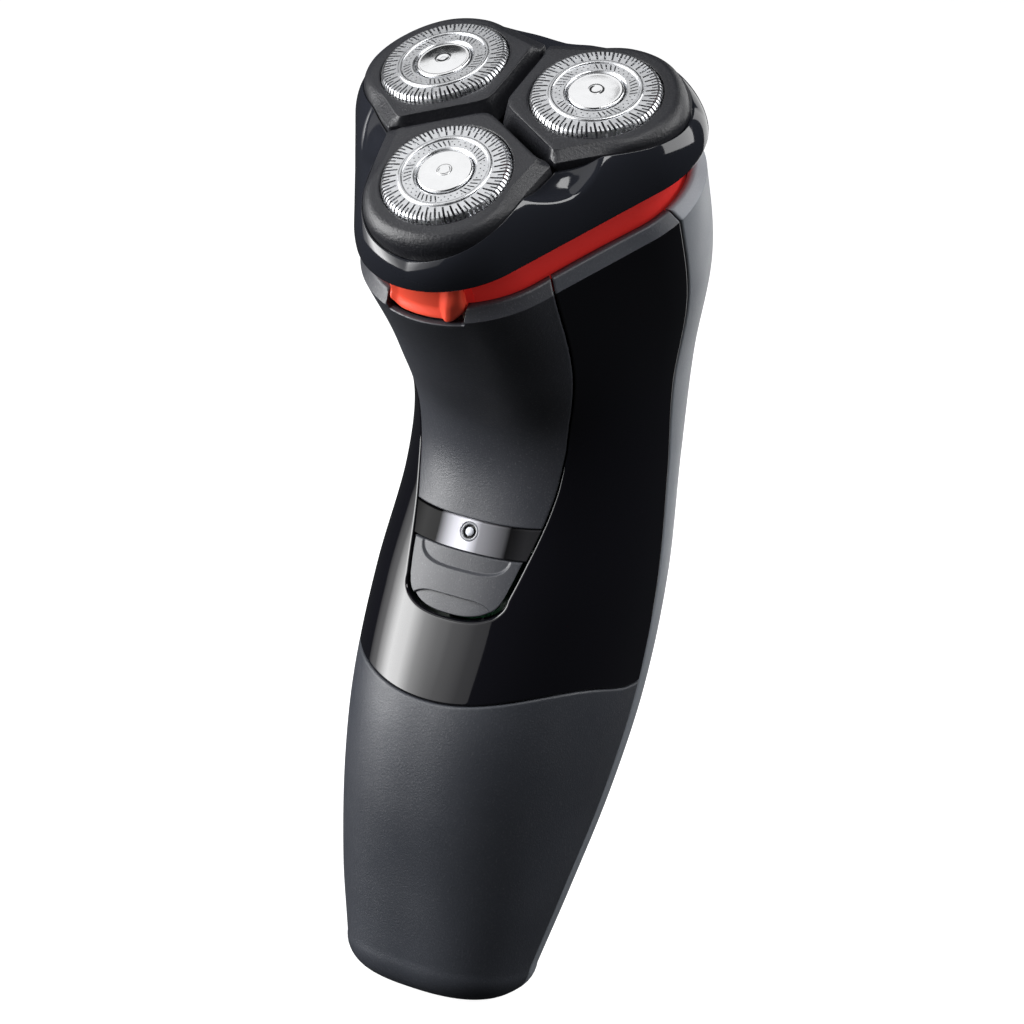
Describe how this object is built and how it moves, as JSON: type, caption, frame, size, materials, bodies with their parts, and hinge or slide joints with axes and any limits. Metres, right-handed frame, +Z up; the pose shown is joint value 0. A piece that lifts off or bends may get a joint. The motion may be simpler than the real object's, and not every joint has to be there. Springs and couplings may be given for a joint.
{
  "type": "electric shaver",
  "caption": "Cordless rotary shaver with flexing round cutter heads on a flip-open head, red hair pocket, gloss and textured handle panels, rocking power button and charge socket.",
  "frame": {"origin": "centre of the flat base that the shaver stands on", "axes": "+Z up along the handle, -Y to the front (the power button side), +X to the right seen from the front"},
  "size_m": [0.0634, 0.0777, 0.1701],
  "materials": {
    "grip": "fine textured, matte",
    "gloss_black": "polished",
    "insert": "fine textured, satin",
    "rear_grey": "fine textured, satin",
    "lens": "polished",
    "window": "clear moulded light guide",
    "dark_plastic": "satin",
    "brass": "plated",
    "frame_plastic": "moulded",
    "battery": "shrink sleeve",
    "steel": "bright",
    "board": "solder mask",
    "motor_steel": "plated",
    "magnet": "sintered",
    "red": "satin",
    "red_button": "satin",
    "rubber": "matte",
    "copper": "varnished windings",
    "gear_nylon": "moulded nylon",
    "gloss_frame": "polished",
    "petal": "fine textured",
    "guard_steel": "fine ground",
    "cap_steel": "polished",
    "hub_plastic": "moulded"
  },
  "bodies": {
    "body": {"lower_grip": "grip", "gloss_panel": "gloss_black", "front_insert": "insert", "rear_shell": "rear_grey", "lens_strip": "lens", "led_window": "window", "base_cap": "dark_plastic", "socket_contacts": "brass", "chassis": "frame_plastic", "battery_cells": "battery", "battery_straps": "steel", "circuit_board": "board", "board_screws": "steel", "push_switch": "dark_plastic", "status_led": "window", "motor_can": "motor_steel", "motor_magnets": "magnet", "motor_end_cap": "dark_plastic", "gear_plate": "frame_plastic", "plate_screws": "steel", "hair_pocket": "red", "pocket_gasket": "rubber", "hinge_pin": "steel", "button_spring": "steel"},
    "rotor": {"armature": "copper", "motor_shaft": "steel", "motor_pinion": "gear_nylon"},
    "power": {"power_button": "insert"},
    "release": {"release_button": "red_button"},
    "head": {"head_frame": "gloss_frame", "cutter_carrier": "frame_plastic"},
    "knob": {"lock_knob": "red_button"},
    "gear_f": {"drive_gear_f": "gear_nylon", "spindle_f": "gear_nylon"},
    "petal_f": {"petal_f": "petal", "guard_f": "guard_steel", "guard_cap_f": "cap_steel"},
    "cutter_f": {"cutter_f": "steel", "cutter_hub_f": "hub_plastic"},
    "gear_r": {"drive_gear_r": "gear_nylon", "spindle_r": "gear_nylon"},
    "petal_r": {"petal_r": "petal", "guard_r": "guard_steel", "guard_cap_r": "cap_steel"},
    "cutter_r": {"cutter_r": "steel", "cutter_hub_r": "hub_plastic"},
    "gear_l": {"drive_gear_l": "gear_nylon", "spindle_l": "gear_nylon"},
    "petal_l": {"petal_l": "petal", "guard_l": "guard_steel", "guard_cap_l": "cap_steel"},
    "cutter_l": {"cutter_l": "steel", "cutter_hub_l": "hub_plastic"}
  },
  "joints": [
    {"name": "rotor_spin", "type": "hinge", "parent": "body", "child": "rotor", "pos_m": [0, -0.00129, 0.12594], "axis": [0, -0.5878, 0.809], "continuous": true},
    {"name": "gear_spin_f", "type": "hinge", "parent": "body", "child": "gear_f", "pos_m": [0, -0.03219, 0.14057], "axis": [0, -0.5878, 0.809], "continuous": true},
    {"name": "gear_spin_r", "type": "hinge", "parent": "body", "child": "gear_r", "pos_m": [0.0142, -0.01229, 0.15503], "axis": [0, -0.5878, 0.809], "continuous": true},
    {"name": "gear_spin_l", "type": "hinge", "parent": "body", "child": "gear_l", "pos_m": [-0.0142, -0.01229, 0.15503], "axis": [0, -0.5878, 0.809], "continuous": true},
    {"name": "power_press", "type": "hinge", "parent": "body", "child": "power", "pos_m": [0, -0.0102, 0.0812], "axis": [1, 0, 0], "range_deg": [0, 3], "stiffness_Nm_per_rad": 0.05},
    {"name": "release_press", "type": "slide", "parent": "body", "child": "release", "axis": [0, 0.809, 0.5878], "range_m": [0, 0.0012], "stiffness_N_per_m": 600, "deforming": ["button_spring"]},
    {"name": "head_open", "type": "hinge", "parent": "body", "child": "head", "pos_m": [0, 0.00089, 0.16139], "axis": [-1, 0, 0], "range_deg": [0, 95]},
    {"name": "knob_turn", "type": "hinge", "parent": "head", "child": "knob", "pos_m": [0, -0.01833, 0.1494], "axis": [0, -0.5878, 0.809], "range_deg": [0, 90]},
    {"name": "flex_f", "type": "hinge", "parent": "head", "child": "petal_f", "pos_m": [0, -0.03518, 0.1446], "axis": [1, 0, 0], "range_deg": [-1.5, 1.5], "stiffness_Nm_per_rad": 0.5},
    {"name": "flex_r", "type": "hinge", "parent": "head", "child": "petal_r", "pos_m": [0.01425, -0.01522, 0.15911], "axis": [-0.5, 0.7006, 0.509], "range_deg": [-1.5, 1.5], "stiffness_Nm_per_rad": 0.5},
    {"name": "flex_l", "type": "hinge", "parent": "head", "child": "petal_l", "pos_m": [-0.01425, -0.01522, 0.15911], "axis": [-0.5, -0.7006, -0.509], "range_deg": [-1.5, 1.5], "stiffness_Nm_per_rad": 0.5},
    {"name": "cutter_spin_f", "type": "hinge", "parent": "petal_f", "child": "cutter_f", "pos_m": [0, -0.03584, 0.14535], "axis": [0, -0.658, 0.753], "continuous": true},
    {"name": "cutter_spin_r", "type": "hinge", "parent": "petal_r", "child": "cutter_r", "pos_m": [0.01432, -0.01577, 0.15994], "axis": [0.0777, -0.5491, 0.8321], "continuous": true},
    {"name": "cutter_spin_l", "type": "hinge", "parent": "petal_l", "child": "cutter_l", "pos_m": [-0.01432, -0.01577, 0.15994], "axis": [-0.0777, -0.5491, 0.8321], "continuous": true}
  ],
  "couplings": [
    {"joint": "rotor_spin", "follows": "gear_spin_f", "ratio": -2.4167},
    {"joint": "gear_spin_r", "follows": "gear_spin_f", "ratio": 1},
    {"joint": "gear_spin_l", "follows": "gear_spin_f", "ratio": 1},
    {"joint": "cutter_spin_f", "follows": "gear_spin_f", "ratio": 1},
    {"joint": "cutter_spin_r", "follows": "gear_spin_f", "ratio": 1},
    {"joint": "cutter_spin_l", "follows": "gear_spin_f", "ratio": 1}
  ]
}
